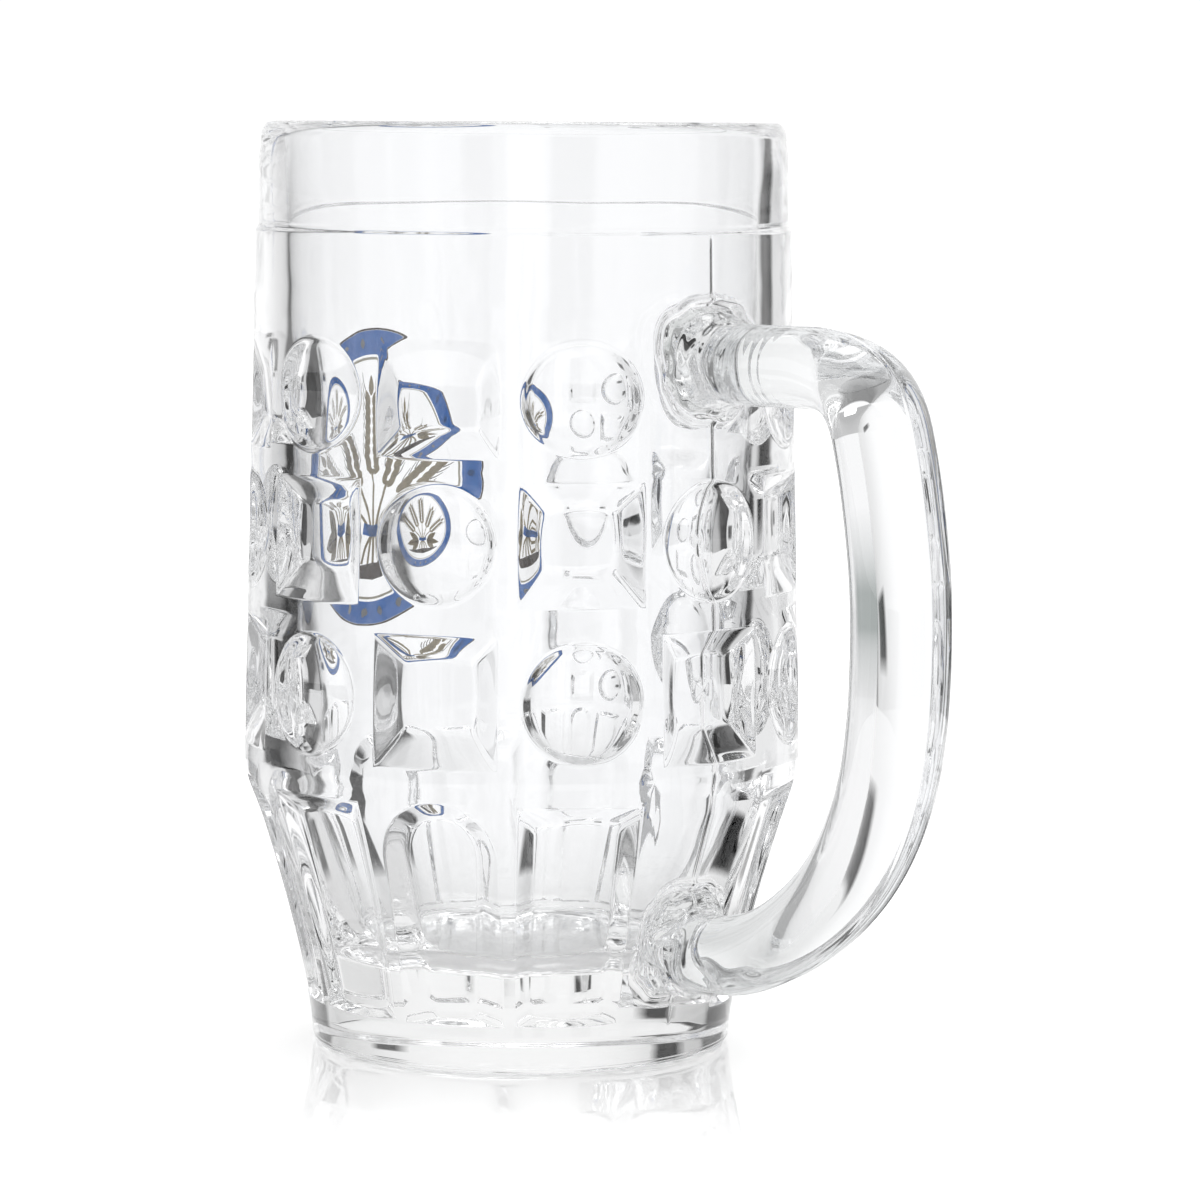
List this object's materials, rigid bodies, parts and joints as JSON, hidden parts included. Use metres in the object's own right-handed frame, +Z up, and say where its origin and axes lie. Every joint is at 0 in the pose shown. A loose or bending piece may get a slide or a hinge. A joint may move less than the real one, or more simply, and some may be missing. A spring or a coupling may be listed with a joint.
{
  "type": "embossed glass beer mug",
  "caption": "Heavy pressed-glass beer mug with embossed squares and rounds, a fluted tapering foot, a plain collar and a fused loop handle.",
  "frame": {"origin": "centre of the flat underside, on the mug's axis", "axes": "+Z up along the mug's axis, the handle in the XZ plane on the +X side, +Y across the handle"},
  "size_m": [0.1386, 0.0918, 0.152],
  "materials": {
    "body_glass": "clear pressed soda-lime glass, fire-polished, with a faint grey-green tint in the thick parts",
    "handle_glass": "clear pressed soda-lime glass, fire-polished, fused to the body at both roots",
    "print_enamel": null
  },
  "bodies": {
    "root": {"mug_body": "body_glass", "handle": "handle_glass", "panel_print": "print_enamel"}
  },
  "joints": []
}
